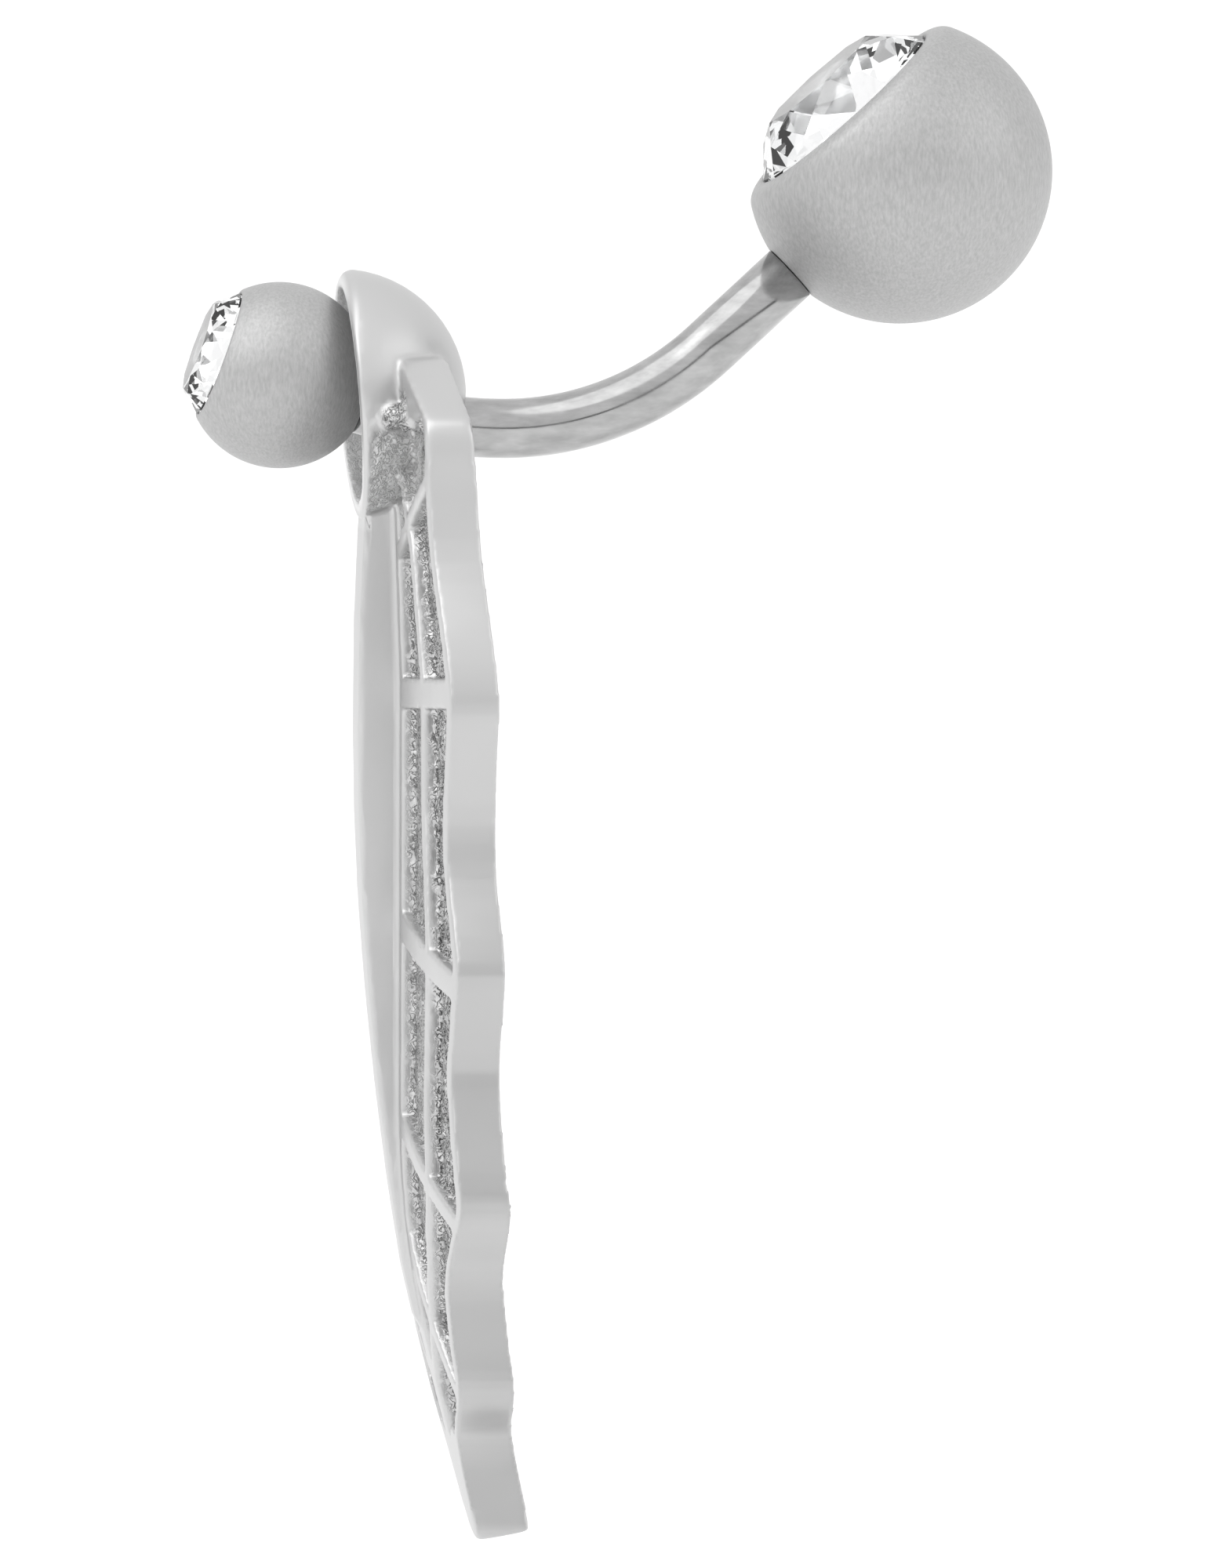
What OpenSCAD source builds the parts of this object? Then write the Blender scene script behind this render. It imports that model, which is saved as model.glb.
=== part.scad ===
// Belly ring: a curved bar between two stone-set balls, with a cast leaf that hangs from a cup on the bar.
// X is across the leaf, -Y is where the leaf and the small ball face, and +Z is up.
// The origin is the middle of the bar, where it sits in the piercing.

/* [Bar] */
// Diameter of the bar
bar_d = 1.6; // [1.2:0.1:2]
// Slope of the bar at the origin, in degrees
mid_slope = 14.85; // [5:0.05:20]
// Radius of the bend that runs from its lowest point to the large ball
tail_r = 8.1; // [7:0.1:10]
// Slope at which that bend ends, in degrees
tail_turn = 42.5; // [35:0.5:50]
// Straight length between that bend and the large ball
tail_run = 2.98; // [1:0.01:5]
// Radius of the bend that runs from its lowest point to the small ball
nose_r = 11.5; // [9:0.1:14]
// Slope at which that bend ends, in degrees
nose_turn = 19.6; // [12:0.5:24]
// Diameter of the hidden posts in the balls
post_d = 1.2; // [0.8:0.1:1.4]
// Length of the hidden posts
post_l = 1.5; // [1:0.1:1.7]

/* [Balls and stones] */
// Diameter of the large ball
large_d = 8.2; // [7:0.1:9]
// Diameter of the small ball
small_d = 5; // [4.5:0.1:5.5]
// Angle of the large stone's axis above the horizontal, in degrees
large_tilt = 48; // [30:1:60]
// Distance from the large ball's centre to its flat seat
large_seat = 2.25; // [2:0.05:2.8]
// Distance from the large ball's centre to its stone's table
large_table = 3.33; // [3.1:0.01:3.8]
// Diameter of the large stone
large_stone_d = 5.8; // [4:0.1:6.2]
// Width of the large stone's table
large_table_d = 3.48; // [2.4:0.01:4]
// Angle of the small stone's axis above the horizontal, in degrees
small_tilt = 20; // [10:1:30]
// Distance from the small ball's centre to its flat seat
small_seat = 1.72; // [1.5:0.01:1.9]
// Distance from the small ball's centre to its stone's table
small_table = 2.33; // [2.2:0.01:2.6]
// Diameter of the small stone
small_stone_d = 3.4; // [2.4:0.1:3.5]
// Width of the small stone's table
small_table_d = 2.38; // [1.6:0.01:2.5]
// Depth below the girdle as a share of the stone's diameter
pavilion_share = 0.28; // [0.2:0.01:0.3]
// Thickness of a stone's girdle
girdle_t = 0.12; // [0.08:0.01:0.2]

/* [Cup] */
// Radius of the outside of the cup
cup_r = 3.4; // [3.2:0.01:3.6]
// Thickness of the cup's wall
cup_wall = 0.5; // [0.4:0.05:0.6]
// Forward place of the cup's centre
cup_y = -6.55; // [-6.7:0.01:-6.4]
// Height of the cup's centre
cup_z = 0.64; // [0.4:0.01:0.9]
// Distance from the cup's centre back to the plane of its mouth
mouth_set = 0.25; // [0.1:0.05:0.5]
// Lean of the mouth, its top towards the small ball, in degrees
mouth_lean = 4.5; // [0:0.5:8]
// Diameter of the hole that the bar passes through
hole_d = 1.78; // [1.7:0.01:1.8]

/* [Leaf] */
// Thickness of the leaf at its edge
leaf_t = 1.3; // [1.1:0.01:1.6]
// Extra thickness of the lowest part
tail_extra = 0.21; // [0:0.01:0.3]
// Depth of the sunk panels between the veins
panel_d = 0.4; // [0.2:0.05:0.6]
// Width of the raised border
border_w = 0.5; // [0.3:0.05:0.8]
// Width of the long vein halfway out
long_vein_w = 0.4; // [0.3:0.05:0.6]
// Radius of the leaf's crown from side to side
crown_r = 48.5; // [45:0.5:100]
// Radius at which the lower leaf curves back
bend_r = 28; // [25:0.5:60]
// Width of the midrib at its top
rib_top_w = 2.2; // [1.6:0.1:2.6]
// Width of the midrib at its tip
rib_tip_w = 0.8; // [0.8:0.1:1.4]

/* [Hidden] */
// Gap that parts two pieces
gap = 0.04;
// Difference in size that keeps two joined surfaces apart
hair = 0.01;
// Length by which two joined lengths of the bar overlap, and the same in degrees for its bends
lap = 0.2;
lap_turn = 0.2;
// Width of a ball's flat face around the bar
face_rim = 0.1;
large_r = large_d / 2;
small_r = small_d / 2;
// The bar's lowest point, and the ends of its two bends, as [y, z]
low = [-tail_r * sin(mid_slope), tail_r * cos(mid_slope) - tail_r];
tail_end = low + tail_r * [sin(tail_turn), 1 - cos(tail_turn)];
nose_end = low + nose_r * [-sin(nose_turn), 1 - cos(nose_turn)];
tail_dir = [cos(tail_turn), sin(tail_turn)];
nose_dir = [-cos(nose_turn), sin(nose_turn)];
tail_cap = tail_end + tail_run * tail_dir;
// Distance from a ball's centre to its flat face against the bar
large_face = sqrt(pow(large_r, 2) - pow(bar_d / 2 + face_rim, 2));
small_face = sqrt(pow(small_r, 2) - pow(bar_d / 2 + face_rim, 2));
large_c = tail_cap + (large_face + gap) * tail_dir;
small_c = nose_end + (small_face + gap) * nose_dir;
large_dir = [-cos(large_tilt), sin(large_tilt)];
small_dir = [-cos(small_tilt), sin(small_tilt)];
// The hole in the cup follows the bar where the two meet
hole_y = cup_y + cup_r - cup_wall / 2 - 0.05;
hole_slope = asin((low[0] - hole_y) / nose_r);
hole_z = low[1] + nose_r * (1 - cos(hole_slope));
hole_dir = [cos(hole_slope), -sin(hole_slope)];
// Shares of a stone's radius at which its kites and its lower facets meet
kite_share = 0.82;
keel_share = 0.5;

// Front of the leaf along its middle. It leans forward above lean_z, curves back below bend_z,
// and runs straight on below tail_z
front_y = -5;
lean = 0.035;
lean_z = -7;
bend_z = -18.5;
tail_z = -25.4;
tail_lean = asin((bend_z - tail_z) / bend_r);
function leaf_y(z) =
    z > lean_z ? front_y - lean * (z - lean_z)
    : z > bend_z ? front_y
    : z > tail_z ? front_y + bend_r - sqrt(pow(bend_r, 2) - pow(bend_z - z, 2))
    : front_y + bend_r * (1 - cos(tail_lean)) + tan(tail_lean) * (tail_z - z);

// Right half of the leaf's outline, from the shoulder to the tip.
// Columns: x across, z up
outline_rows = [
    [0, 1.7], [2.6, 1.75], [3.5, 1.55], [5.7, 0.5], [6.3, -0.1], [6.4, -1.8], [6.7, -3.5],
    [7.4, -5.2], [7.85, -6.5], [7.97, -7.5], [7.75, -8.8], [7.55, -10.5], [7.7, -11.9],
    [8.3, -13.4], [8.57, -14.4], [8.3, -15.6], [7.97, -17], [8.2, -18.4], [8.6, -20.2],
    [8.4, -20.9], [7.6, -21.6], [6.6, -22.4], [5.95, -23.3], [5.4, -24.5], [4.9, -25.5],
    [4.1, -26.2], [3.1, -26.7], [2.3, -27.15], [1.8, -27.7], [1.4, -28.4], [1.1, -29.3],
    [0.75, -29.95], [0, -30.25]
];
leaf_tip = -30.25;
// Share of the extra thickness at one height: none above the tail, and all of it 1.4 mm lower
function tail_share(z) = min(1, max(0, (-20.5 - z) / 1.4));
// Rise of the tip's end face towards the back, in degrees
tip_slope = 13;

// Point at share t between the rows i and i + 1 of a table, on a smooth curve through them all
function eased(rows, i, t) =
    let (
        a = rows[max(i - 1, 0)],
        b = rows[i],
        c = rows[i + 1],
        d = rows[min(i + 2, len(rows) - 1)]
    )
    b + t * ((c - a) / 2 + t * (a - 2.5 * b + 2 * c - d / 2 + t * (1.5 * (b - c) + (d - a) / 2)));
outline = concat(
    [for (i = [0:len(outline_rows) - 2], t = [0, 1 / 3, 2 / 3]) eased(outline_rows, i, t)],
    [outline_rows[len(outline_rows) - 1]]
);

// The side veins run from the midrib to the border.
// Columns: z at the midrib, z at the border, width
side_veins = [
    [-3.9, 0, 0.4], [-7.35, -6.9, 0.8], [-13.5, -14.9, 0.75],
    [-18.8, -21.5, 0.55], [-21.8, -31.1, 0.6]
];
// Distance across at which the second of those heights is read
vein_reach = 9;

// The long vein on one side, which keeps about halfway out.
// Columns: x across, z up
long_vein = [
    [1, -0.2], [2.6, -1.9], [3.6, -3.4], [4.5, -6.7], [4.6, -10.2], [5.2, -14.1],
    [4.9, -17.7], [4.95, -20.1], [3.95, -22.3], [2.4, -24.2], [0.6, -25.6]
];

// Front line of the midrib, seen from the side.
// Columns: y forward, z up
rib_line = [
    [-5.8, 0], [-5.97, -2.77], [-6.09, -5.5], [-6.13, -8.3], [-6.1, -10.6], [-6, -13],
    [-5.82, -15.4], [-5.57, -17.9], [-5.26, -20.4], [-4.9, -22.7], [-4.58, -24.1],
    [-3.7, -25.6]
];

// The lump beside the cup, on the right: where it starts, and its turn towards the shoulder in degrees
knob_at = [3, -5.6, 0.2];
knob_turn = 36;
knob_d = 0.66;

steel = "#c9c9c9";
satin = "#b9b9b9";
glass = "#f2f6f8";

// Lays a shape that was drawn along +Z on a line in the middle plane.
// The line starts at [y, z] = at and runs towards [y, z] = dir
module along(at, dir) {
    translate([0, at[0], at[1]]) rotate([atan2(-dir[0], dir[1]), 0, 0]) children();
}

// Stretch of round bar that bends upward from its lowest point, from one slope to another, in degrees
module bend(radius, from, to, d) {
    translate([0, low[0], low[1] + radius])
        rotate([90, 0, 90])
        rotate([0, 0, from - 90])
        rotate_extrude(angle = to - from, $fn = 96)
        translate([radius, 0]) circle(d = d, $fn = 48);
}

// Each length of the bar starts inside the one before and is a hair finer, so the two meet in a clean edge
module bar() {
    color(steel) union() {
        bend(tail_r, 0, tail_turn, bar_d);
        bend(nose_r, -nose_turn, lap_turn, bar_d - hair);
        along(tail_end - lap * tail_dir, tail_dir)
            cylinder(d = bar_d - hair, h = tail_run + lap, $fn = 48);
        along(tail_cap - lap * tail_dir, tail_dir) cylinder(d = post_d, h = post_l + lap, $fn = 48);
        along(nose_end - lap * nose_dir, nose_dir) cylinder(d = post_d, h = post_l + lap, $fn = 48);
    }
}

// Stone with its girdle's lower edge at z = 0, its table up and 8-fold facets
module stone(diameter, table_d, crown_h) {
    g = diameter / 2;
    t = table_d / 2;
    k = g * kite_share;
    p = g * keel_share;
    depth = diameter * pavilion_share;
    half = cos(22.5);
    kite_z = girdle_t + crown_h * (g - k * half) / (g - t);
    keel_z = -depth * (1 - p * half / g);
    table = [for (i = [0:7]) [t * cos(45 * i), t * sin(45 * i), girdle_t + crown_h]];
    kites = [for (i = [0:7]) [k * cos(45 * i + 22.5), k * sin(45 * i + 22.5), kite_z]];
    upper = [for (i = [0:15]) [g * cos(22.5 * i), g * sin(22.5 * i), girdle_t]];
    lower = [for (i = [0:15]) [g * cos(22.5 * i), g * sin(22.5 * i), 0]];
    keels = [for (i = [0:7]) [p * cos(45 * i + 22.5), p * sin(45 * i + 22.5), keel_z]];
    points = concat(table, kites, upper, lower, keels, [[0, 0, -depth]]);
    faces = concat(
        [[for (i = [7:-1:0]) i]],
        [for (i = [0:7]) [i, (i + 1) % 8, 8 + i]],
        [for (i = [0:7]) [i, 8 + i, 16 + 2 * i]],
        [for (i = [0:7]) [i, 16 + 2 * i, 8 + (i + 7) % 8]],
        [for (i = [0:7]) [8 + i, 17 + 2 * i, 16 + 2 * i]],
        [for (i = [0:7]) [8 + i, 16 + (2 * i + 2) % 16, 17 + 2 * i]],
        [for (i = [0:15]) [16 + i, 16 + (i + 1) % 16, 32 + (i + 1) % 16]],
        [for (i = [0:15]) [16 + i, 32 + (i + 1) % 16, 32 + i]],
        [for (i = [0:7]) [48 + i, 32 + 2 * i, 33 + 2 * i]],
        [for (i = [0:7]) [48 + i, 33 + 2 * i, 32 + (2 * i + 2) % 16]],
        [for (i = [0:7]) [56, 32 + 2 * i, 48 + i]],
        [for (i = [0:7]) [56, 48 + (i + 7) % 8, 32 + 2 * i]]
    );
    color(glass) polyhedron(points = points, faces = faces);
}

// Cut for a stone's flat seat and the pit under it, drawn from a ball's centre along +Z
module seat_cut(radius, seat, stone_d) {
    pit = stone_d * pavilion_share + gap;
    translate([0, 0, seat]) cylinder(r = radius, h = radius, $fn = 96);
    translate([0, 0, seat - girdle_t]) cylinder(d = stone_d + 2 * gap, h = radius, $fn = 96);
    translate([0, 0, seat - girdle_t - pit])
        cylinder(d1 = gap, d2 = stone_d + 2 * gap, h = pit, $fn = 96);
}

// Ball with its stone's seat, a flat face against the bar and a hole for the bar's post.
// stone_dir points out along the stone's axis, and post_dir from the bar into the ball
module ball(centre, radius, seat, stone_d, stone_dir, post_dir, face) {
    color(satin) difference() {
        translate([0, centre[0], centre[1]]) sphere(r = radius, $fn = 128);
        along(centre, stone_dir) seat_cut(radius, seat, stone_d);
        along(centre - face * post_dir, -post_dir) cylinder(d = bar_d * 2, h = 1, $fn = 48);
        along(centre - (face + lap) * post_dir, post_dir)
            cylinder(d = post_d + 2 * gap, h = post_l + lap + gap, $fn = 48);
    }
}

module large_ball() {
    ball(large_c, large_r, large_seat, large_stone_d, large_dir, tail_dir, large_face);
}

module large_stone() {
    base = large_seat - girdle_t + gap;
    along(large_c + base * large_dir, large_dir)
        stone(large_stone_d, large_table_d, large_table - base - girdle_t);
}

module small_ball() {
    ball(small_c, small_r, small_seat, small_stone_d, small_dir, nose_dir, small_face);
}

module small_stone() {
    base = small_seat - girdle_t + gap;
    along(small_c + base * small_dir, small_dir)
        stone(small_stone_d, small_table_d, small_table - base - girdle_t);
}

// Layer of the leaf's bowed form, from one depth behind its front to another.
// The back of the tail lies deeper by the extra
module bowed(from, to, extra = 0) {
    steps = concat([2.2, lean_z], [for (i = [0:8]) bend_z - i * (bend_z - leaf_tip + 0.4) / 8]);
    outer = [for (z = steps) [crown_r - leaf_y(z) + front_y - from, z]];
    inner = [for (i = [len(steps) - 1:-1:0]) let (z = steps[i])
        [crown_r - leaf_y(z) + front_y - to - extra * tail_share(z), z]];
    translate([0, front_y + crown_r, 0])
        rotate([0, 0, -102])
        rotate_extrude(angle = 24, $fn = 256)
        polygon(concat(outer, inner));
}

// Prism from Y = 0 forward, right through the leaf, of a shape drawn across it
module through() {
    rotate([90, 0, 0]) linear_extrude(height = 9) children();
}

// The leaf's whole outline
module leaf_shape() {
    mirrored = [for (i = [len(outline) - 2:-1:1]) [-outline[i][0], outline[i][1]]];
    polygon(concat(outline, mirrored));
}

// The sunk field on the right, between the midrib and the border
module field() {
    rows = [for (p = outline) if (p[0] > 2.2 && p[1] < 0.4) [p[0] - border_w, p[1]]];
    polygon(concat(
        [[rib_top_w / 2 + 0.2, -0.3], [4.9, 0.2]],
        rows,
        [[1.3, -27], [0.6, -27.3]]
    ));
}

// Strip of one width along a row of points
module ribbon(rows, width) {
    last = len(rows) - 1;
    sides = [for (i = [0:last])
        let (d = rows[min(i + 1, last)] - rows[max(i - 1, 0)])
        [-d[1], d[0]] * width / 2 / norm(d)];
    polygon(concat(
        [for (i = [0:last]) rows[i] + sides[i]],
        [for (i = [last:-1:0]) rows[i] - sides[i]]
    ));
}

module veins() {
    for (v = side_veins) ribbon([[0.3, v[0]], [vein_reach, v[1]]], v[2]);
    ribbon(long_vein, long_vein_w);
}

module panels() {
    difference() {
        field();
        veins();
    }
}

module midrib() {
    back_line = [[front_y + 0.5, -20], [front_y + 0.5, 0]];
    rib_end = rib_line[len(rib_line) - 1][1];
    intersection() {
        rotate([90, 0, 90]) translate([0, 0, -2]) linear_extrude(height = 4)
            polygon(concat(rib_line, back_line));
        through() polygon([
            [-rib_top_w / 2, 0.5], [rib_top_w / 2, 0.5],
            [rib_tip_w / 2, rib_end], [-rib_tip_w / 2, rib_end]
        ]);
    }
}

// Lays a shape that was drawn along +Z on the cup's axis, which runs back from the mouth
module on_cup() {
    translate([0, cup_y, cup_z]) rotate([-90 + mouth_lean, 0, 0]) children();
}

// Part of a ball behind the plane of the mouth: the cup's outside, or the room inside it
module cup_form(radius) {
    on_cup() intersection() {
        sphere(r = radius, $fn = 128);
        translate([0, 0, mouth_set]) cylinder(r = cup_r + 1, h = cup_r + 1, $fn = 96);
    }
}

// Small lump that fills the corner between the cup and one shoulder
module knob() {
    translate(knob_at) rotate([0, 90, knob_turn]) cylinder(d = knob_d, h = 1.4, $fn = 48);
}

module leaf_charm() {
    color(steel) difference() {
        union() {
            intersection() {
                through() leaf_shape();
                bowed(panel_d, leaf_t, tail_extra);
            }
            intersection() {
                through() difference() {
                    leaf_shape();
                    panels();
                    mirror([1, 0]) panels();
                }
                bowed(0, panel_d + 0.05);
            }
            midrib();
            cup_form(cup_r);
            knob();
            mirror([1, 0, 0]) knob();
        }
        cup_form(cup_r - cup_wall);
        on_cup() translate([0, 0, mouth_set - 4])
            cylinder(r = cup_r - cup_wall - 2 * hair, h = 4 + 2 * hair, $fn = 96);
        along([hole_y, hole_z] - 1.2 * hole_dir, hole_dir)
            cylinder(d = hole_d, h = 3, $fn = 48);
        translate([-5, leaf_y(leaf_tip), leaf_tip]) rotate([tip_slope, 0, 0])
            translate([0, -2, -2]) cube([10, 5, 2]);
    }
}

bar();
large_ball();
large_stone();
small_ball();
small_stone();
leaf_charm();
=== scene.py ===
# %% [markdown]
# A belly ring, dressed for its picture.
# The real thing is a curved steel bar with a satin ball on each end. Each ball holds a clear stone.
# A cast leaf hangs from the bar by a small round cup, and swings about the bar.
# It could all be modelled here by eye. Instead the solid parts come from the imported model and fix
# every size and place, and this script adds what they lack: soft edges, rough skin and finishes.

# %% Load the frame
from math import asin, atan2, cos, hypot, radians, sin, sqrt, tan

import bmesh
import bpy
from mathutils import Matrix, Vector, noise


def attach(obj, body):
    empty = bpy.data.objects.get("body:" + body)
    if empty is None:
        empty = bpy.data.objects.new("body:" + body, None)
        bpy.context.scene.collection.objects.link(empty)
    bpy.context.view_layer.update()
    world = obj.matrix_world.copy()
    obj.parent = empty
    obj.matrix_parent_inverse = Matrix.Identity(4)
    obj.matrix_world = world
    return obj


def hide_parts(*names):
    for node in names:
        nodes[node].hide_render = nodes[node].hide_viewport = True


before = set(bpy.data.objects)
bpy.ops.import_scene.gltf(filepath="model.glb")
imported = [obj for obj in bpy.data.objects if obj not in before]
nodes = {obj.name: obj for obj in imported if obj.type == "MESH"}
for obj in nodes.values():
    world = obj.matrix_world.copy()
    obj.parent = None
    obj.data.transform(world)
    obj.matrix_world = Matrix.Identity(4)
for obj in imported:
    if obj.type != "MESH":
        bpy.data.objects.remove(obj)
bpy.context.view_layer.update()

# %% [markdown]
# Everything sits on the bar, so its middle line comes first: two easy bends that meet at the lowest
# point, and a straight stretch at the back. The line could be a list of points. Here each bend has
# a radius and an angle, as a bender would set them, so that the new bar lands on the solid one.
# Shapes are drawn in millimetres, because jewellery is measured that way, and scaled down at the
# end.

# %% Middle line of the bar
MM = 0.001
BAR_R = 0.8
TAIL_R, TAIL_TURN, TAIL_RUN = 8.1, radians(42.5), 2.98
NOSE_R, NOSE_TURN = 11.5, radians(19.6)
MID_SLOPE = radians(14.85)


def in_middle(y, z):
    """A point or direction in the middle plane, which cuts the ring into two equal halves."""
    return Vector((0, y, z))


LOW = in_middle(-TAIL_R * sin(MID_SLOPE), TAIL_R * cos(MID_SLOPE) - TAIL_R)
TAIL_END = LOW + TAIL_R * in_middle(sin(TAIL_TURN), 1 - cos(TAIL_TURN))
NOSE_END = LOW + NOSE_R * in_middle(-sin(NOSE_TURN), 1 - cos(NOSE_TURN))
TAIL_DIR = in_middle(cos(TAIL_TURN), sin(TAIL_TURN))
NOSE_DIR = in_middle(-cos(NOSE_TURN), sin(NOSE_TURN))
print("lowest point of the bar:", tuple(round(v, 3) for v in LOW))

# %% [markdown]
# The photograph was taken from the side and a little from the front, with almost no perspective.
# A short lens close by would draw the far edge of the leaf smaller than the near one. A very long
# lens from far away keeps both edges at the same size, as they are in the photograph.

# %% Camera
CAMERA_TURN, CAMERA_RISE = radians(6), radians(3.5)
LENS, SENSOR = 600, 36
FRAME_HEIGHT = 42.1
AIM_RIGHT, AIM_UP = 0.903, -9.827


def put_in_scene(name, data):
    """Makes an object from a mesh, a lamp or a camera, and links it into the scene."""
    thing = bpy.data.objects.new(name, data)
    bpy.context.collection.objects.link(thing)
    return thing


away = Vector(
    (cos(CAMERA_TURN) * cos(CAMERA_RISE), -sin(CAMERA_TURN) * cos(CAMERA_RISE), sin(CAMERA_RISE))
)
right = Vector((sin(CAMERA_TURN), cos(CAMERA_TURN), 0))
up = away.cross(right)
target = MM * (AIM_RIGHT * right + AIM_UP * up)
distance = MM * FRAME_HEIGHT * LENS / SENSOR
camera = put_in_scene("camera", bpy.data.cameras.new("camera"))
camera.data.lens, camera.data.sensor_width = LENS, SENSOR
camera.data.clip_start, camera.data.clip_end = 0.01, 20
camera.location = target + distance * away
camera.rotation_euler = away.to_track_quat("Z", "Y").to_euler()
bpy.context.scene.camera = camera
print("camera stands", round(distance, 3), "m away")

# %% [markdown]
# Finishes come next. A picture of real metal could be wrapped round each piece, but a pattern
# worked out from the place of a point has no seams, and stays sharp however near the camera comes.
# So each material is a small tree of nodes, and these helpers plant and link them.


# %% Node helpers
def add(tree, kind, **settings):
    node = tree.nodes.new(kind)
    for key, value in settings.items():
        setattr(node, key, value)
    return node


def feed(tree, socket, value):
    """Links another node's output to a socket, or sets the socket to a plain value."""
    if isinstance(value, bpy.types.NodeSocket):
        tree.links.new(value, socket)
    else:
        socket.default_value = value


def maths(tree, operation, *values):
    """One step of arithmetic on numbers and other nodes' outputs."""
    node = add(tree, "ShaderNodeMath", operation=operation)
    for socket, value in zip(node.inputs, values):
        feed(tree, socket, value)
    return node.outputs[0]


def spread(tree, value, low, high, to_low=0.0, to_high=1.0):
    """Stretches a value from one range to another and keeps it inside."""
    node = add(tree, "ShaderNodeMapRange")
    feed(tree, node.inputs["Value"], value)
    ends = {"From Min": low, "From Max": high, "To Min": to_low, "To Max": to_high}
    for label, number in ends.items():
        node.inputs[label].default_value = number
    return node.outputs["Result"]


# %% Pattern and colour helpers
def mottle(tree, place, **values):
    """Random light and dark spots that hang on a place. Scale, Detail and so on shape them."""
    node = add(tree, "ShaderNodeTexNoise")
    feed(tree, node.inputs["Vector"], place)
    for label, value in values.items():
        feed(tree, node.inputs[label], value)
    return node.outputs[0]


def mix_colours(tree, amount, first, second, blend_type="MIX"):
    """Mixes two colours. Each is another node's output, a colour, or one number for a grey."""
    node = add(tree, "ShaderNodeMix", data_type="RGBA", blend_type=blend_type)
    feed(tree, node.inputs[0], amount)
    ends = [s for s in node.inputs if s.type == "RGBA"]
    for socket, colour in zip(ends, (first, second)):
        feed(tree, socket, (colour, colour, colour, 1) if isinstance(colour, float) else colour)
    return next(s for s in node.outputs if s.type == "RGBA")


# %% [markdown]
# More than one finish here has fine marks or soft patches. Each effect could be built again in
# every material, but as a node group it is built once and placed with its own numbers. Grain gives
# fine marks, stretched along one direction, as a brush or a polishing wheel leaves them. Clouds are
# soft light and dark patches, such as handling leaves on metal; on the cast skin they are patches
# of painted shade. A group puts out only a mask, and each material decides what the mask changes.


# %% Group helper
def new_group(name, numbers):
    """A node group that takes a place on the surface and some numbers, and puts out one mask."""
    group = bpy.data.node_groups.new(name, "ShaderNodeTree")
    group.interface.new_socket("Place", in_out="INPUT", socket_type="NodeSocketVector")
    for label, value in numbers.items():
        socket = group.interface.new_socket(label, in_out="INPUT", socket_type="NodeSocketFloat")
        socket.default_value = value
    group.interface.new_socket("Mask", in_out="OUTPUT", socket_type="NodeSocketFloat")
    given, out = group.nodes.new("NodeGroupInput"), group.nodes.new("NodeGroupOutput")
    return group, given.outputs, out.inputs["Mask"]


# %% Grain group
grain, given, mask = new_group(
    "grain", {"Fineness": 1000, "Stretch X": 1, "Stretch Y": 1, "Stretch Z": 1}
)
stretch = add(grain, "ShaderNodeCombineXYZ")
for axis in "XYZ":
    grain.links.new(given["Stretch " + axis], stretch.inputs[axis])
squeezed = add(grain, "ShaderNodeVectorMath", operation="MULTIPLY")
grain.links.new(given["Place"], squeezed.inputs[0])
grain.links.new(stretch.outputs[0], squeezed.inputs[1])
marks = mottle(grain, squeezed.outputs[0], Scale=given["Fineness"], Detail=3, Roughness=0.6)
grain.links.new(spread(grain, marks, 0.3, 0.7), mask)
print("grain group:", len(grain.nodes), "nodes")

# %% Clouds group
clouds, given, mask = new_group("clouds", {"Size": 200})
patches = mottle(clouds, given["Place"], Scale=given["Size"], Detail=2, Distortion=0.4)
clouds.links.new(spread(clouds, patches, 0.3, 0.7), mask)
print("clouds group:", len(clouds.nodes), "nodes")

# %% [markdown]
# Every finish then follows one recipe. A mask blends a dark and a light tone for the colour, and
# the same mask makes a weak bump, so the light breaks where the colour changes, as it does on real
# marks.


# %% Finish helpers
def blank_material(name):
    material = bpy.data.materials.new(name)
    material.use_nodes = True
    tree = material.node_tree
    place = add(tree, "ShaderNodeTexCoord").outputs["Object"]
    return material, tree, place


def place_group(tree, group, place, **numbers):
    node = add(tree, "ShaderNodeGroup", node_tree=group)
    tree.links.new(place, node.inputs["Place"])
    for label, value in numbers.items():
        node.inputs[label.replace("_", " ")].default_value = value
    return node.outputs["Mask"]


def bump(tree, height, strength, depth):
    """Raises the light parts of a mask by a depth in metres, for the shading only."""
    node = add(tree, "ShaderNodeBump")
    node.inputs["Strength"].default_value = strength
    node.inputs["Distance"].default_value = depth
    tree.links.new(height, node.inputs["Height"])
    return node.outputs[0]


def painted_mask(tree, name):
    """A mask that the mesh itself carries, as a number on each point."""
    return add(tree, "ShaderNodeAttribute", attribute_name=name).outputs["Fac"]


def set_shader(tree, values):
    """Sets or links the sockets of the material's own shader."""
    shader = tree.nodes["Principled BSDF"]
    for label, value in values.items():
        feed(tree, shader.inputs[label], value)


# %% [markdown]
# Satin steel covers both balls. It is made by brushing or blasting, which leaves short fine marks
# that run up and down in the photograph, and spreads the light so wide that nothing is mirrored.
# So the grain is drawn long in Z, the surface is rough, and the colour changes only a little.

# %% Satin steel
satin, tree, place = blank_material("satin_steel")
brushed = place_group(tree, grain, place, Fineness=14000, Stretch_Z=0.28)
set_shader(tree, {
    "Base Color": mix_colours(tree, brushed, 0.42, 0.53),
    "Roughness": 0.5,
    "Metallic": 0.75,
    "Normal": bump(tree, brushed, strength=0.35, depth=0.01 * MM),
})
print("satin steel is ready")

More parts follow.
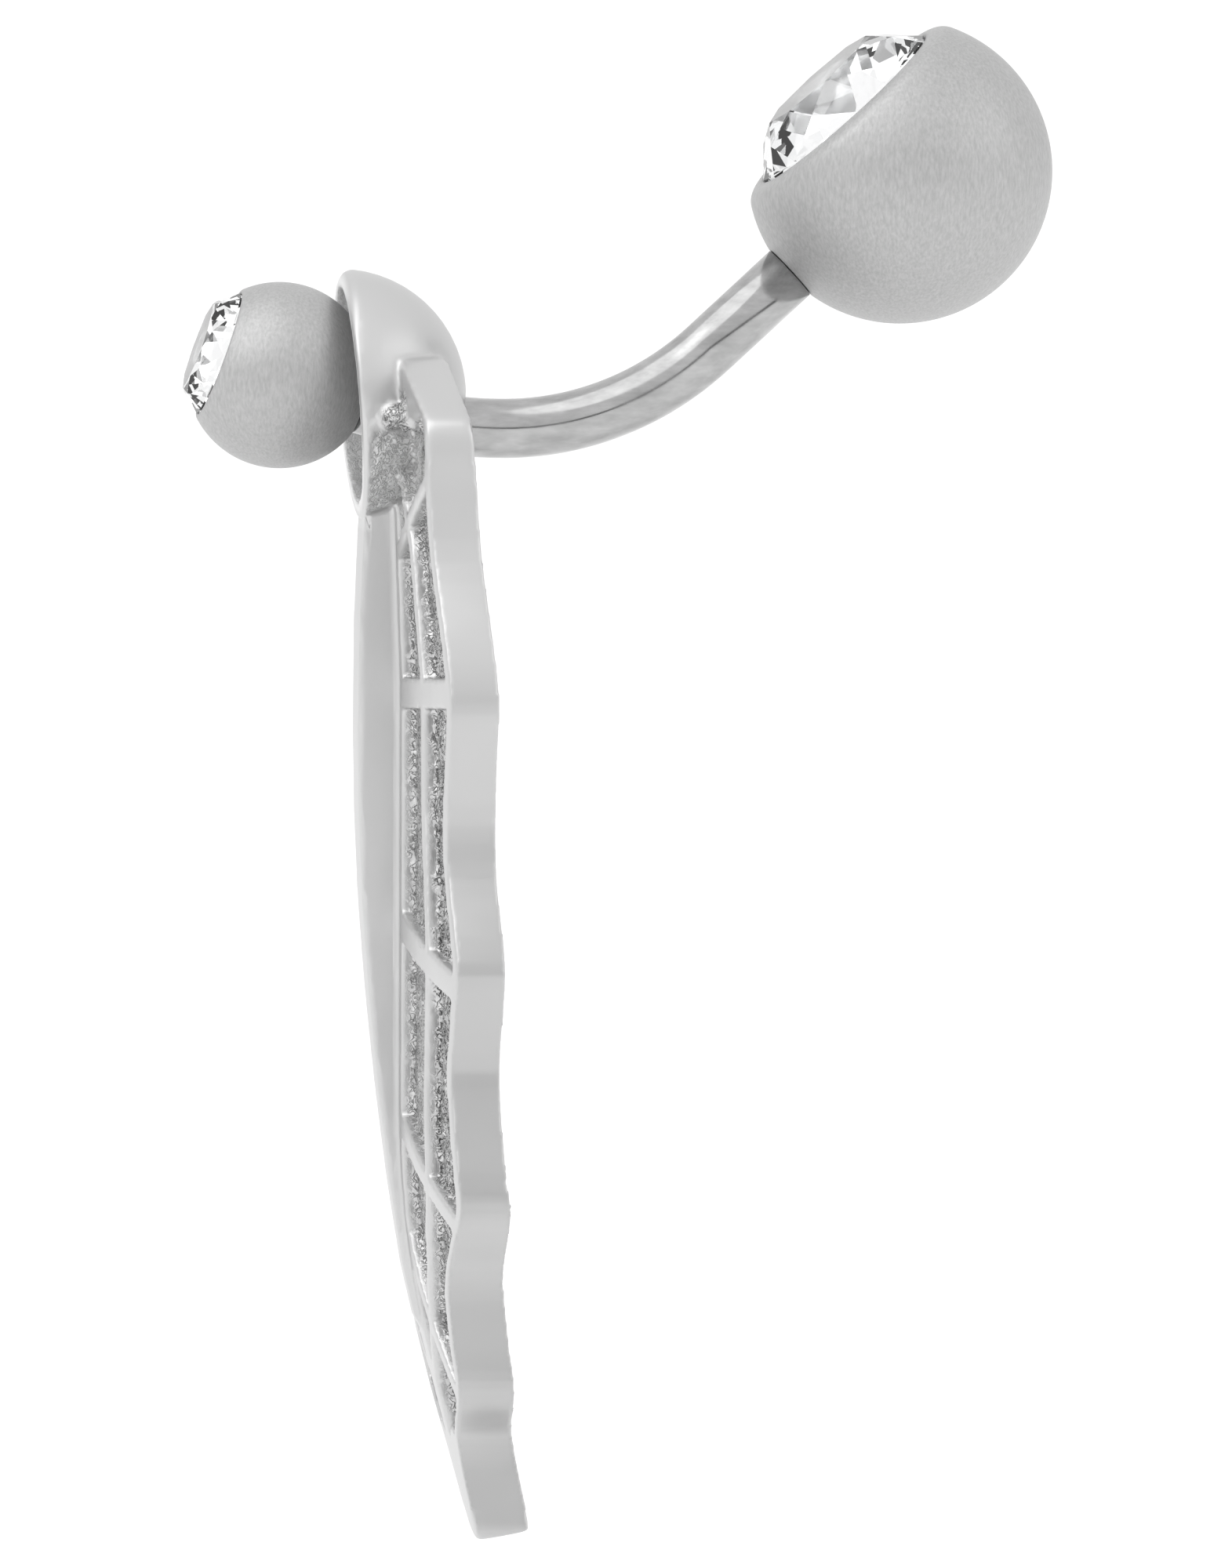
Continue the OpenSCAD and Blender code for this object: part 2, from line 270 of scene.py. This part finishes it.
# %% [markdown]
# Polished steel is for the bar, which has to be smooth where it is worn. It could be a plain
# mirror, but the photograph shows it a little streaked and uneven. So grain that runs along the bar
# varies the colour, and clouds vary the roughness and give a faint bump.

# %% Polished steel
polished, tree, place = blank_material("polished_steel")
rubbed = place_group(tree, grain, place, Fineness=2600, Stretch_Y=0.35)
worn = place_group(tree, clouds, place, Size=700)
set_shader(tree, {
    "Base Color": mix_colours(tree, rubbed, 0.36, 0.5),
    "Roughness": spread(tree, worn, 0, 1, 0.11, 0.2),
    "Metallic": 1,
    "Normal": bump(tree, worn, strength=0.2, depth=0.01 * MM),
})
print("polished steel is ready")

# %% [markdown]
# Cast metal is for the leaf and its cup. Polishing reaches the edges and veins, while the sunk
# panels keep the skin of the mould: crumbs, with painted shade in dark curly lines between them.
# Three materials could do it, but they would meet in hard lines. One material that reads masks
# from the mesh blends them softly. The mask cast_skin says where the skin is, a second mask marks
# the matte inside of the cup, painted pale as painted light where shade falls, and a third is
# painted shade that darkens the leaf's rim towards its tip.

# %% Rough part of the cast metal
cast, tree, place = blank_material("cast_silver")
skin = painted_mask(tree, "cast_skin")
# Painted shade: the skin is painted dark for the shade that falls in the rough sunk panels. It is
# darkest in curly lines between the crumbs and in random patches.
curls = mottle(tree, place, Scale=5600, Detail=1.5, Distortion=1.3)
from_line = maths(tree, "ABSOLUTE", maths(tree, "SUBTRACT", curls, 0.5))
crumbs = spread(tree, from_line, 0.0, 0.09)
painted_crumb_shade = mix_colours(tree, crumbs, 0.05, 0.82)
patchy_shade = mix_colours(tree, place_group(tree, clouds, place, Size=1900), 0.32, 1.0)
rough_colour = mix_colours(tree, 0.8, painted_crumb_shade, patchy_shade, "MULTIPLY")
print("the rough skin has dark lines between its crumbs")

# %% Whole cast metal
handled = place_group(tree, clouds, place, Size=260)
# Painted shade: the leaf's rim is painted darker towards its tip, on top of the random patches that
# handling leaves.
painted_rim_shade = spread(tree, painted_mask(tree, "painted_rim_shade"), 0, 1, 0, 0.85)
handling_and_rim_shade = maths(tree, "MULTIPLY_ADD", handled, 0.15, painted_rim_shade)
smooth_colour = mix_colours(tree, handling_and_rim_shade, 0.64, 0.42)
# Painted light: the inside of the cup and the web under the knobs are screened paler where shade
# falls there, and they are made matte.
painted_cavity_light = painted_mask(tree, "painted_cavity_light")
cast_colour = mix_colours(tree, skin, smooth_colour, rough_colour)
set_shader(tree, {
    "Base Color": mix_colours(tree, painted_cavity_light, cast_colour, 0.6, "SCREEN"),
    "Roughness": spread(tree, skin, 0, 1, 0.4, 0.46),
    "Metallic": spread(tree, painted_cavity_light, 0, 1, 1.0, 0.15),
    "Normal": bump(tree, maths(tree, "MULTIPLY", crumbs, skin), strength=0.7, depth=0.04 * MM),
})
print("cast metal is ready")

# %% [markdown]
# The stones are cut from clear crystal, with a mirror foil behind them. Light goes in through the
# front, and the foil sends it back. A glass shader bends the light at each cut face. The foil could
# be part of the stone, but it is put on the wall of the pit, so the stone itself stays plain glass.
# Each stone is the solid part itself, because its flat facets need no softening.

# %% Clear stone and its foil
stone, tree, place = blank_material("clear_stone")
faint = place_group(tree, clouds, place, Size=300)
set_shader(tree, {
    "Base Color": mix_colours(tree, faint, (0.93, 0.94, 0.95, 1), 1.0),
    "Roughness": 0.0,
    "IOR": 1.55,
    "Transmission Weight": 1,
})
for name in ("large_stone", "small_stone"):
    nodes[name].data.materials.clear()
    nodes[name].data.materials.append(stone)

foil, tree, place = blank_material("mirror_foil")
creased = place_group(tree, clouds, place, Size=900)
set_shader(tree, {
    "Base Color": mix_colours(tree, creased, 0.06, 0.5),
    "Roughness": 0.12,
    "Metallic": 1,
})
print("clear stone is on both stones, and the foil is ready")

# %% [markdown]
# Every new piece needs the same few moves. A shape is drawn along +Z, laid along its own line on
# the ring, and then turned into an object. The object itself stays at the origin, because its place
# is in its mesh, and so it swings with its body like the solid part that it stands for.


# %% Helpers for new pieces
MERGE = 0.0001


def lay(bm, place, direction):
    """Turns the mesh from +Z to a direction in the middle plane, and moves it to its place."""
    turn = Matrix.Rotation(atan2(-direction.y, direction.z), 4, "X")
    bmesh.ops.transform(bm, matrix=Matrix.Translation(place) @ turn, verts=bm.verts)


def open_edges(bm):
    return [e for e in bm.edges if e.is_boundary]


def cap(bm, edges):
    """Closes a round opening with one face, and gives that face back."""
    made = bmesh.ops.contextual_create(bm, geom=edges)
    return made["faces"][0]


def shrink_in(bm, face, amount):
    bmesh.ops.inset_individual(bm, faces=[face], thickness=amount, use_even_offset=True)


def push(bm, face, move):
    """Extrudes one face along a vector."""
    made = bmesh.ops.extrude_discrete_faces(bm, faces=[face])
    bmesh.ops.translate(bm, verts=made["faces"][0].verts, vec=move)


# %% From a drawn mesh to a piece of the ring
def finish_piece(bm, name, body, replaced, material):
    """Makes the drawn mesh an object of the ring that stands for one solid part."""
    bmesh.ops.recalc_face_normals(bm, faces=bm.faces)
    bmesh.ops.scale(bm, vec=(MM, MM, MM), verts=bm.verts)
    mesh = bpy.data.meshes.new(name)
    bm.to_mesh(mesh)
    bm.free()
    mesh.materials.append(material)
    mesh.shade_smooth()
    piece = put_in_scene(name, mesh)
    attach(piece, body)
    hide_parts(replaced)
    print(name, "has", len(mesh.polygons), "faces")
    return piece


# %% [markdown]
# The bar is a round rod that was bent in two places. A curve with a round profile could draw it,
# but spinning a ring of edges about the centre of each bend is what a bender does, and gives even
# faces. The ring is then drawn out straight for the last stretch. Each end gets a small bevel, so
# that it catches the light, and a thin plain post that the ball sits on.

# %% Bar
POST_R, POST_LENGTH = 0.6, 1.5
END_BEVEL, END_RISE = 0.05, 0.03

bm = bmesh.new()
bmesh.ops.create_circle(bm, radius=BAR_R, segments=64)
lay(bm, NOSE_END, NOSE_DIR)
ring = list(bm.edges)
for bend_r, turn, steps in ((NOSE_R, NOSE_TURN, 12), (TAIL_R, TAIL_TURN, 24)):
    spun = bmesh.ops.spin(
        bm, geom=ring, cent=LOW + in_middle(0, bend_r), axis=(1, 0, 0), dvec=(0, 0, 0),
        angle=turn, steps=steps,
    )
    ring = [g for g in spun["geom_last"] if isinstance(g, bmesh.types.BMEdge)]
drawn = bmesh.ops.extrude_edge_only(bm, edges=ring)
last_ring = [g for g in drawn["geom"] if isinstance(g, bmesh.types.BMVert)]
bmesh.ops.translate(bm, verts=last_ring, vec=TAIL_RUN * TAIL_DIR)
bmesh.ops.remove_doubles(bm, verts=bm.verts, dist=MERGE)
for place, direction in ((NOSE_END, NOSE_DIR), (TAIL_END + TAIL_RUN * TAIL_DIR, TAIL_DIR)):
    rim = [e for e in open_edges(bm) if (e.verts[0].co - place).length < 2 * BAR_R]
    end = cap(bm, rim)
    shrink_in(bm, end, END_BEVEL)
    bmesh.ops.translate(bm, verts=end.verts, vec=END_RISE * direction)
    shrink_in(bm, end, BAR_R - END_BEVEL - POST_R)
    push(bm, end, POST_LENGTH * direction)
finish_piece(bm, "curved_bar", "bar_set", "bar", polished)

# %% [markdown]
# A real ball is turned on a lathe, drilled for the bar's end and bored out for its stone. A ready
# made sphere with a bevelled cut gives folded faces at the lip, so this one is turned as well.
# One point is swung into the ball's outline, then over the rounded lip, and the line goes on down
# into the pit. The whole outline is spun round the ball's own axis.

# %% Lathe helpers
GIRDLE, PAVILION = 0.12, 0.56
GAP = 0.04
PIT_POINT = 0.04
FOIL_INDEX, FOIL_SLACK = 1, 0.01
BALL_STEPS, LIP_STEPS, LATHE_STEPS = 72, 10, 128


def swing_point(bm, point, centre, turn, steps):
    """Spins one point of an outline about a centre, and gives the last point of the arc back."""
    spun = bmesh.ops.spin(
        bm, geom=[point], cent=centre, axis=(0, -1, 0), dvec=(0, 0, 0), angle=turn, steps=steps
    )
    return next(g for g in spun["geom_last"] if isinstance(g, bmesh.types.BMVert))


def draw_line(bm, point, out, up):
    """Draws the outline straight on to a new place, and gives its last point back."""
    end = bmesh.ops.extrude_vert_indiv(bm, verts=[point])["verts"][0]
    end.co = (out, 0, up)
    return end


def turned_ball(radius, seat, lip, pit_r, pit_floor):
    """A ball on +Z with a flat seat, a rounded lip and a pit whose wall is marked for the foil."""
    lip_out = sqrt((radius - lip) ** 2 - (seat - lip) ** 2)
    lip_start = atan2(seat - lip, lip_out)
    bm = bmesh.new()
    point = bm.verts.new((0, 0, -radius))
    point = swing_point(bm, point, (0, 0, 0), radians(90) + lip_start, BALL_STEPS)
    point = swing_point(bm, point, (lip_out, 0, seat - lip), radians(90) - lip_start, LIP_STEPS)
    point = draw_line(bm, point, pit_r, seat)
    point = draw_line(bm, point, pit_r, seat - GIRDLE)
    point = draw_line(bm, point, PIT_POINT * pit_r, pit_floor)
    draw_line(bm, point, 0, pit_floor)
    bmesh.ops.spin(
        bm, geom=bm.verts[:] + bm.edges[:], cent=(0, 0, 0), axis=(0, 0, 1), dvec=(0, 0, 0),
        angle=radians(360), steps=LATHE_STEPS, use_merge=True,
    )
    bmesh.ops.remove_doubles(bm, verts=bm.verts, dist=MERGE)
    for face in bm.faces:
        middle = face.calc_center_median()
        in_height = pit_floor - FOIL_SLACK < middle.z < seat - GIRDLE
        if in_height and hypot(middle.x, middle.y) < pit_r:
            face.material_index = FOIL_INDEX
    return bm


# %% [markdown]
# The turned ball is laid along its own axis, with the stone to the front. Where it meets the bar a
# plane cuts a small flat, and the post's hole is pushed in from there. Cutting after the spin keeps
# the outline simple, because the flat and the stone point in different directions.

# %% Both balls
FLAT_R = BAR_R + 0.1
HOLE_LENGTH = POST_LENGTH + 0.1


def ball(name, end, direction, radius, tilt, seat, stone_r, lip):
    """One ball of the ring, set on the end of the bar that points in a direction."""
    pit_floor = seat - GIRDLE - PAVILION * stone_r - GAP
    bm = turned_ball(radius, seat, lip, stone_r + GAP, pit_floor)
    flat = sqrt(radius**2 - FLAT_R**2)
    centre = end + (flat + GAP) * direction
    lay(bm, centre, in_middle(-cos(tilt), sin(tilt)))
    everything = bm.verts[:] + bm.edges[:] + bm.faces[:]
    bmesh.ops.bisect_plane(
        bm, geom=everything, plane_co=centre - flat * direction, plane_no=-direction,
        clear_outer=True, dist=MERGE,
    )
    hole = cap(bm, open_edges(bm))
    hole.normal_update()
    shrink_in(bm, hole, FLAT_R - POST_R - GAP)
    push(bm, hole, HOLE_LENGTH * direction)
    piece = finish_piece(bm, name + "_shell", "bar_set", name, satin)
    piece.data.materials.append(foil)
    print(name, "stands at", tuple(round(v, 2) for v in centre))


ball(
    "large_ball", TAIL_END + TAIL_RUN * TAIL_DIR, TAIL_DIR,
    radius=4.1, tilt=radians(48), seat=2.25, stone_r=2.9, lip=0.6,
)
ball(
    "small_ball", NOSE_END, NOSE_DIR,
    radius=2.5, tilt=radians(20), seat=1.72, stone_r=1.7, lip=0.12,
)

# %% [markdown]
# The leaf is one casting with its cup. Its form is already in the solid part, but with knife edges.
# Bevels would need every edge of the veins picked out by hand. Instead a merged copy of the solid
# is remeshed into small even faces and smoothed, which rounds every edge by a few hundredths of a
# millimetre, as casting and polishing do, and closes the joins between cup and leaf.


# %% Modifier helpers
def smooth(times, **where):
    """A Smooth modifier that goes over the mesh a number of times."""
    return "SMOOTH", {"factor": 0.5, "iterations": times, **where}


def with_modifiers(bm, *modifiers, spots=()):
    """Puts modifiers on a mesh for a moment, and gives back the mesh that they make.

    Each spot is a name and the numbers of its points, for a modifier that works only there.
    """
    mesh = bpy.data.meshes.new("passing")
    bm.to_mesh(mesh)
    bm.free()
    holder = put_in_scene("passing", mesh)
    for name, points in spots:
        holder.vertex_groups.new(name=name).add(points, 1, "REPLACE")
    for kind, settings in modifiers:
        modifier = holder.modifiers.new(kind.lower(), kind)
        for key, value in settings.items():
            setattr(modifier, key, value)
    bpy.context.view_layer.update()
    evaluated = holder.evaluated_get(bpy.context.evaluated_depsgraph_get())
    made = bmesh.new()
    made.from_mesh(evaluated.to_mesh())
    evaluated.to_mesh_clear()
    bpy.data.objects.remove(holder)
    return made


# %% Leaf copy
FACE_SIZE = 0.062

bm = bmesh.new()
bm.from_mesh(nodes["leaf_charm"].data)
bmesh.ops.remove_doubles(bm, verts=bm.verts, dist=MERGE * MM)
bmesh.ops.scale(bm, vec=(1 / MM, 1 / MM, 1 / MM), verts=bm.verts)
bm = with_modifiers(bm, ("REMESH", {"mode": "VOXEL", "voxel_size": FACE_SIZE}), smooth(7))
print("leaf has", len(bm.faces), "even faces")

# %% [markdown]
# From here on the script has to know which part of the casting a point belongs to: a sunk panel,
# the rim, the cup or a knob. The parts could be picked out by hand and stored, but a rule still
# works when the mesh is made again. So each part is told by measures that a maker would take:
# how deep below the leaf's front, how far in from its edge, how far from the cup's centre.
# The sizes below are those that the solid part was built from.

# %% Measures on the casting
CUP_R = 3.4
CUP_CENTRE = Vector((0, -6.55, 0.64))
KNOB, KNOB_R = Vector((3.4, -5.6, 0.2)), 0.95
CROWN_R, BEND_R = 48.5, 28
FRONT_Y, LEAN = -5, 0.035
LEAN_Z, BEND_Z, TAIL_Z = -7, -18.5, -25.4


def leaf_front(z):
    """How far back the front of the leaf's middle is at one height."""
    if z > LEAN_Z:
        return FRONT_Y - LEAN * (z - LEAN_Z)
    if z > BEND_Z:
        return FRONT_Y
    if z > TAIL_Z:
        return FRONT_Y + BEND_R - sqrt(BEND_R**2 - (BEND_Z - z) ** 2)
    lean = asin((BEND_Z - TAIL_Z) / BEND_R)
    return FRONT_Y + BEND_R * (1 - cos(lean)) + tan(lean) * (TAIL_Z - z)


def depth_below_front(p):
    """How deep a point is below the bowed front of the leaf."""
    return CROWN_R - leaf_front(p.z) + FRONT_Y - hypot(p.x, p.y - FRONT_Y - CROWN_R)


def from_cup(v):
    return (v.co - CUP_CENTRE).length


def from_knob(v):
    return hypot(abs(v.co.x) - KNOB.x, v.co.y - KNOB.y, v.co.z - KNOB.z)


reach = {}
for v in bm.verts:
    tenth = round(v.co.z * 10)
    reach[tenth] = max(reach.get(tenth, 0), abs(v.co.x))


def from_edge(v):
    """How far in from the leaf's edge a point is, at its own height."""
    return reach.get(round(v.co.z * 10), 0) - abs(v.co.x)


print("the leaf is", round(2 * max(reach.values()), 1), "mm across")

# %% [markdown]
# A mask is a number from 0 to 1 on each point. Where a mask jumps, the eye sees a cut, so all of
# these rise and fall over a short way, of a tenth of a millimetre or a few.

# %% Masks for the leaf
PANEL_TOP, PANEL_FLOOR = 0.1, 0.7
BORDER, OUTER_PANELS = 0.28, 4.2
WEB_FRONT, WEB_BACK, WEB_REACH = -6, -4.6, 1
RIM_TOP, TIP = -2, -26


def ramp(value, low, high):
    """Rises from 0 at low to 1 at high."""
    return min(1.0, max(0.0, (value - low) / (high - low)))


def fall(value, high, width):
    """Falls from 1 to 0 over a short width that ends at high."""
    return ramp(high - value, 0, width)


def corner_at(v):
    """1 on the rough web under each knob, between the lower half of the cup and the leaf."""
    if not WEB_FRONT < v.co.y < WEB_BACK:
        return 0.0
    near_cup = ramp(from_cup(v), CUP_R - 0.15, CUP_R - 0.05)
    near_cup *= fall(from_cup(v), CUP_R + WEB_REACH, 0.3)
    behind_front = ramp(v.co.y, WEB_FRONT + 0.02, WEB_FRONT + 0.2)
    low_down = ramp(-v.co.z, 0.15, 0.4)
    off_middle = ramp(abs(v.co.x), 1.2, 1.5)
    return near_cup * behind_front * low_down * off_middle


def skin_at(v):
    """1 where the skin of the mould was left, and 0 where the metal was polished."""
    depth = depth_below_front(v.co)
    outside_cup = ramp(from_cup(v), CUP_R + 0.06, CUP_R + 0.2)
    sunk = ramp(depth, PANEL_TOP, 0.18) * fall(depth, PANEL_FLOOR, 0.1)
    panel = sunk * ramp(from_edge(v), BORDER, 0.4) * outside_cup * ramp(-v.normal.y, 0, 0.25)
    # Painted shade: the outer panels, next to the raised border, get the full skin and its painted
    # shade, and the inner ones get three quarters of it.
    panel *= 0.75 + 0.25 * ramp(abs(v.co.x), OUTER_PANELS, OUTER_PANELS + 1)
    facing_in = (CUP_CENTRE - v.co).normalized().dot(v.normal)
    in_cup = 0.45 * fall(from_cup(v), CUP_R - 0.2, 0.15) * ramp(facing_in, 0.2, 0.6)
    on_knob = 0.8 * fall(from_knob(v), KNOB_R, 0.2) * outside_cup
    return max(panel, in_cup, on_knob, 0.75 * corner_at(v))


def painted_cavity_light_at(v):
    """1 inside the cup, and less on the web. Both are matte, as no wheel reaches them, and both are
    painted pale, as painted light where shade falls.
    """
    return max(fall(from_cup(v), CUP_R - 0.12, 0.2), 0.6 * corner_at(v))


def painted_rim_shade_at(v):
    """Painted shade on the leaf's rim, which grows from 0 at its top to 1 at its tip.

    It is weaker on faces that look down, which are painted lighter, as painted light from the pale
    floor.
    """
    on_rim = fall(from_edge(v), 0.4, 0.25) * fall(abs(v.normal.y), 0.8, 0.3)
    facing_down = ramp(-v.normal.z, 0.45, 0.75)
    return on_rim * ramp(-v.co.z, -RIM_TOP, -TIP) * (1 - 0.5 * facing_down)


# %% [markdown]
# The edge of the cup's mouth is worn rounder than the rest, and most of all at its top. A modifier
# would round both edges of the lip alike, so the outer one is rounded by hand: each point near it
# is pulled onto a small arc that touches the cup's skin and the face of its mouth.

# %% Lip of the cup
MOUTH_TILT = radians(4.5)
MOUTH_AXIS = in_middle(cos(MOUTH_TILT), sin(MOUTH_TILT))
MOUTH_SET = 0.25


def round_lip(v, radius):
    """Pulls a point near the outer edge of the cup's mouth onto a rounded lip."""
    out = v.co - CUP_CENTRE
    below_skin, behind_mouth = CUP_R - out.length, out.dot(MOUTH_AXIS) - MOUTH_SET
    if below_skin > radius or behind_mouth > radius or behind_mouth < -0.2:
        return
    from_middle = hypot(radius - below_skin, radius - behind_mouth)
    if from_middle > radius:
        pull = (from_middle - radius) / from_middle
        back = (radius - behind_mouth) * MOUTH_AXIS
        v.co += pull * (back - (radius - below_skin) * out.normalized())


bm.normal_update()
for v in bm.verts:
    if v.co.y < -5 and v.co.z > -3:
        round_lip(v, 0.16 + 0.3 * ramp(v.co.z, 2.4, 3.9))
print("the lip is rounded")

# %% [markdown]
# Some spots of a casting are much softer than its veins: the shoulders that carry the cup, the tip,
# the small knobs, and the back near the tail. More smoothing everywhere would melt the veins.
# So each spot is a vertex group, with a Smooth modifier that works only there. A spot has a number
# of times and a test that says which points lie in it.

# %% Soft spots
SOFT_SPOTS = {
    "shoulders": (36, lambda v: v.co.z > -0.9 and 2.2 < abs(v.co.x) < 6.6 and v.co.y > -5.6),
    "tip": (60, lambda v: v.co.z < -29.3),
    "knobs": (25, lambda v: from_knob(v) < KNOB_R and from_cup(v) > CUP_R + 0.02),
    "tail_back": (150, lambda v: -23 < v.co.z < -19.4 and v.normal.y > 0.8),
}
bm.verts.index_update()
spots = {
    name: [v.index for v in bm.verts if is_there(v)] for name, (_, is_there) in SOFT_SPOTS.items()
}
softening = [smooth(times, vertex_group=name) for name, (times, _) in SOFT_SPOTS.items()]
bm = with_modifiers(bm, *softening, spots=spots.items())
print("points smoothed again:", {name: len(points) for name, points in spots.items()})

# %% [markdown]
# Last comes the relief of the mould's skin. A bump in the material alone would leave the panels
# flat in profile, so the points themselves move in and out by a few hundredths, and by more on the
# knobs. The mesh is then thinned, because flat places need fewer faces, and last it gets the three
# masks that the cast metal reads.

# %% Relief and masks
SKIN_RELIEF, KNOB_RELIEF = 0.07, 0.13
LEAF_FACES = 98000


def crumbs_at(p):
    """Height of the mould's skin, from coarse waves to fine crumbs."""
    coarse, middling, fine = noise.noise(p * 2.4), abs(noise.noise(p * 5)), noise.noise(p * 9)
    return 0.6 * coarse + 0.8 * middling - 0.25 + 0.7 * fine


bm.normal_update()
for v in bm.verts:
    relief = SKIN_RELIEF + KNOB_RELIEF * fall(from_knob(v), KNOB_R, 0.3)
    v.co += v.normal * (relief * crumbs_at(v.co) * skin_at(v))
bm = with_modifiers(bm, ("DECIMATE", {"ratio": LEAF_FACES / len(bm.faces)}))
bm.normal_update()
for name, mask_at in (("cast_skin", skin_at), ("painted_cavity_light", painted_cavity_light_at), ("painted_rim_shade", painted_rim_shade_at)):
    layer = bm.verts.layers.float.new(name)
    for v in bm.verts:
        v[layer] = mask_at(v)
finish_piece(bm, "cast_leaf", "charm", "leaf_charm", cast)

# %% [markdown]
# The ring hangs in the air over a plain pale floor, because it is worn and can't stand by itself.
# A stand would be one more thing in the picture that isn't part of it.

# %% Floor
FLOOR_Z, FLOOR_HALF = -0.036, 6

bm = bmesh.new()
bmesh.ops.create_grid(bm, x_segments=1, y_segments=1, size=FLOOR_HALF)
bmesh.ops.translate(bm, verts=bm.verts, vec=(0, 0, FLOOR_Z))
floor_mesh = bpy.data.meshes.new("floor")
bm.to_mesh(floor_mesh)
bm.free()
floor = put_in_scene("floor", floor_mesh)
paper = bpy.data.materials.new("pale_paper")
paper.use_nodes = True
set_shader(paper.node_tree, {
    "Base Color": (0.97, 0.97, 0.97, 1), "Roughness": 0.9, "Specular IOR Level": 0.1,
})
floor_mesh.materials.append(paper)
print("floor is below the leaf's tip")

# %% [markdown]
# Bright metal shows the room more than itself. A few lamps in a dark room would give hard spots, so
# the whole room is white, as a light tent is. It has one narrow dark strip, just above the horizon
# on the camera's side, that the bar mirrors as a fine line. The camera itself sees plain white.

# %% Room
STRIP_Z, STRIP_HALF = 0.06, 0.045
STRIP_LIGHT = 0.12

world = bpy.data.worlds.new("room")
bpy.context.scene.world = world
world.use_nodes = True
tree = world.node_tree
background = tree.nodes["Background"]
split = add(tree, "ShaderNodeSeparateXYZ")
tree.links.new(add(tree, "ShaderNodeTexCoord").outputs["Generated"], split.inputs[0])
rising = spread(tree, split.outputs["Z"], 0.0, 1.0, 0.95, 1.0)
strip = maths(tree, "COMPARE", split.outputs["Z"], STRIP_Z, STRIP_HALF)
by_camera = maths(tree, "MULTIPLY", strip, spread(tree, split.outputs["X"], 0.1, 0.4))
shaded = maths(tree, "MULTIPLY", rising, spread(tree, by_camera, 0, 1, 1, STRIP_LIGHT))
seen = add(tree, "ShaderNodeMix", data_type="FLOAT")
tree.links.new(add(tree, "ShaderNodeLightPath").outputs["Is Camera Ray"], seen.inputs[0])
tree.links.new(shaded, seen.inputs[2])
seen.inputs[3].default_value = 1.0
tree.links.new(seen.outputs[0], background.inputs["Strength"])
background.inputs["Color"].default_value = (1, 1, 1, 1)
print("the room is white, with one strip of", STRIP_LIGHT, "of its light")

# %% [markdown]
# An evenly white room alone makes the balls look flat. One wide soft light from above shapes them,
# and two round softboxes, left and right of the camera, put a gentle highlight on each form.

# %% Lights
sun = put_in_scene("window_light", bpy.data.lights.new("window_light", "SUN"))
sun.data.energy = 0.6
sun.data.angle = radians(60)
sun.rotation_euler = (radians(25), radians(20), 0)
for name, place, size, watts in (
    ("left_softbox", (0.25, -0.5, 0.35), 0.5, 0.35),
    ("right_softbox", (0.2, 0.5, 0.25), 0.45, 0.25),
):
    lamp = bpy.data.lights.new(name, "AREA")
    lamp.shape = "DISK"
    lamp.size = size
    lamp.energy = watts
    light = put_in_scene(name, lamp)
    light.location = place
    light.rotation_euler = (light.location - target).to_track_quat("Z", "Y").to_euler()
bpy.context.scene.view_settings.view_transform = "Standard"
print("lights are ready")
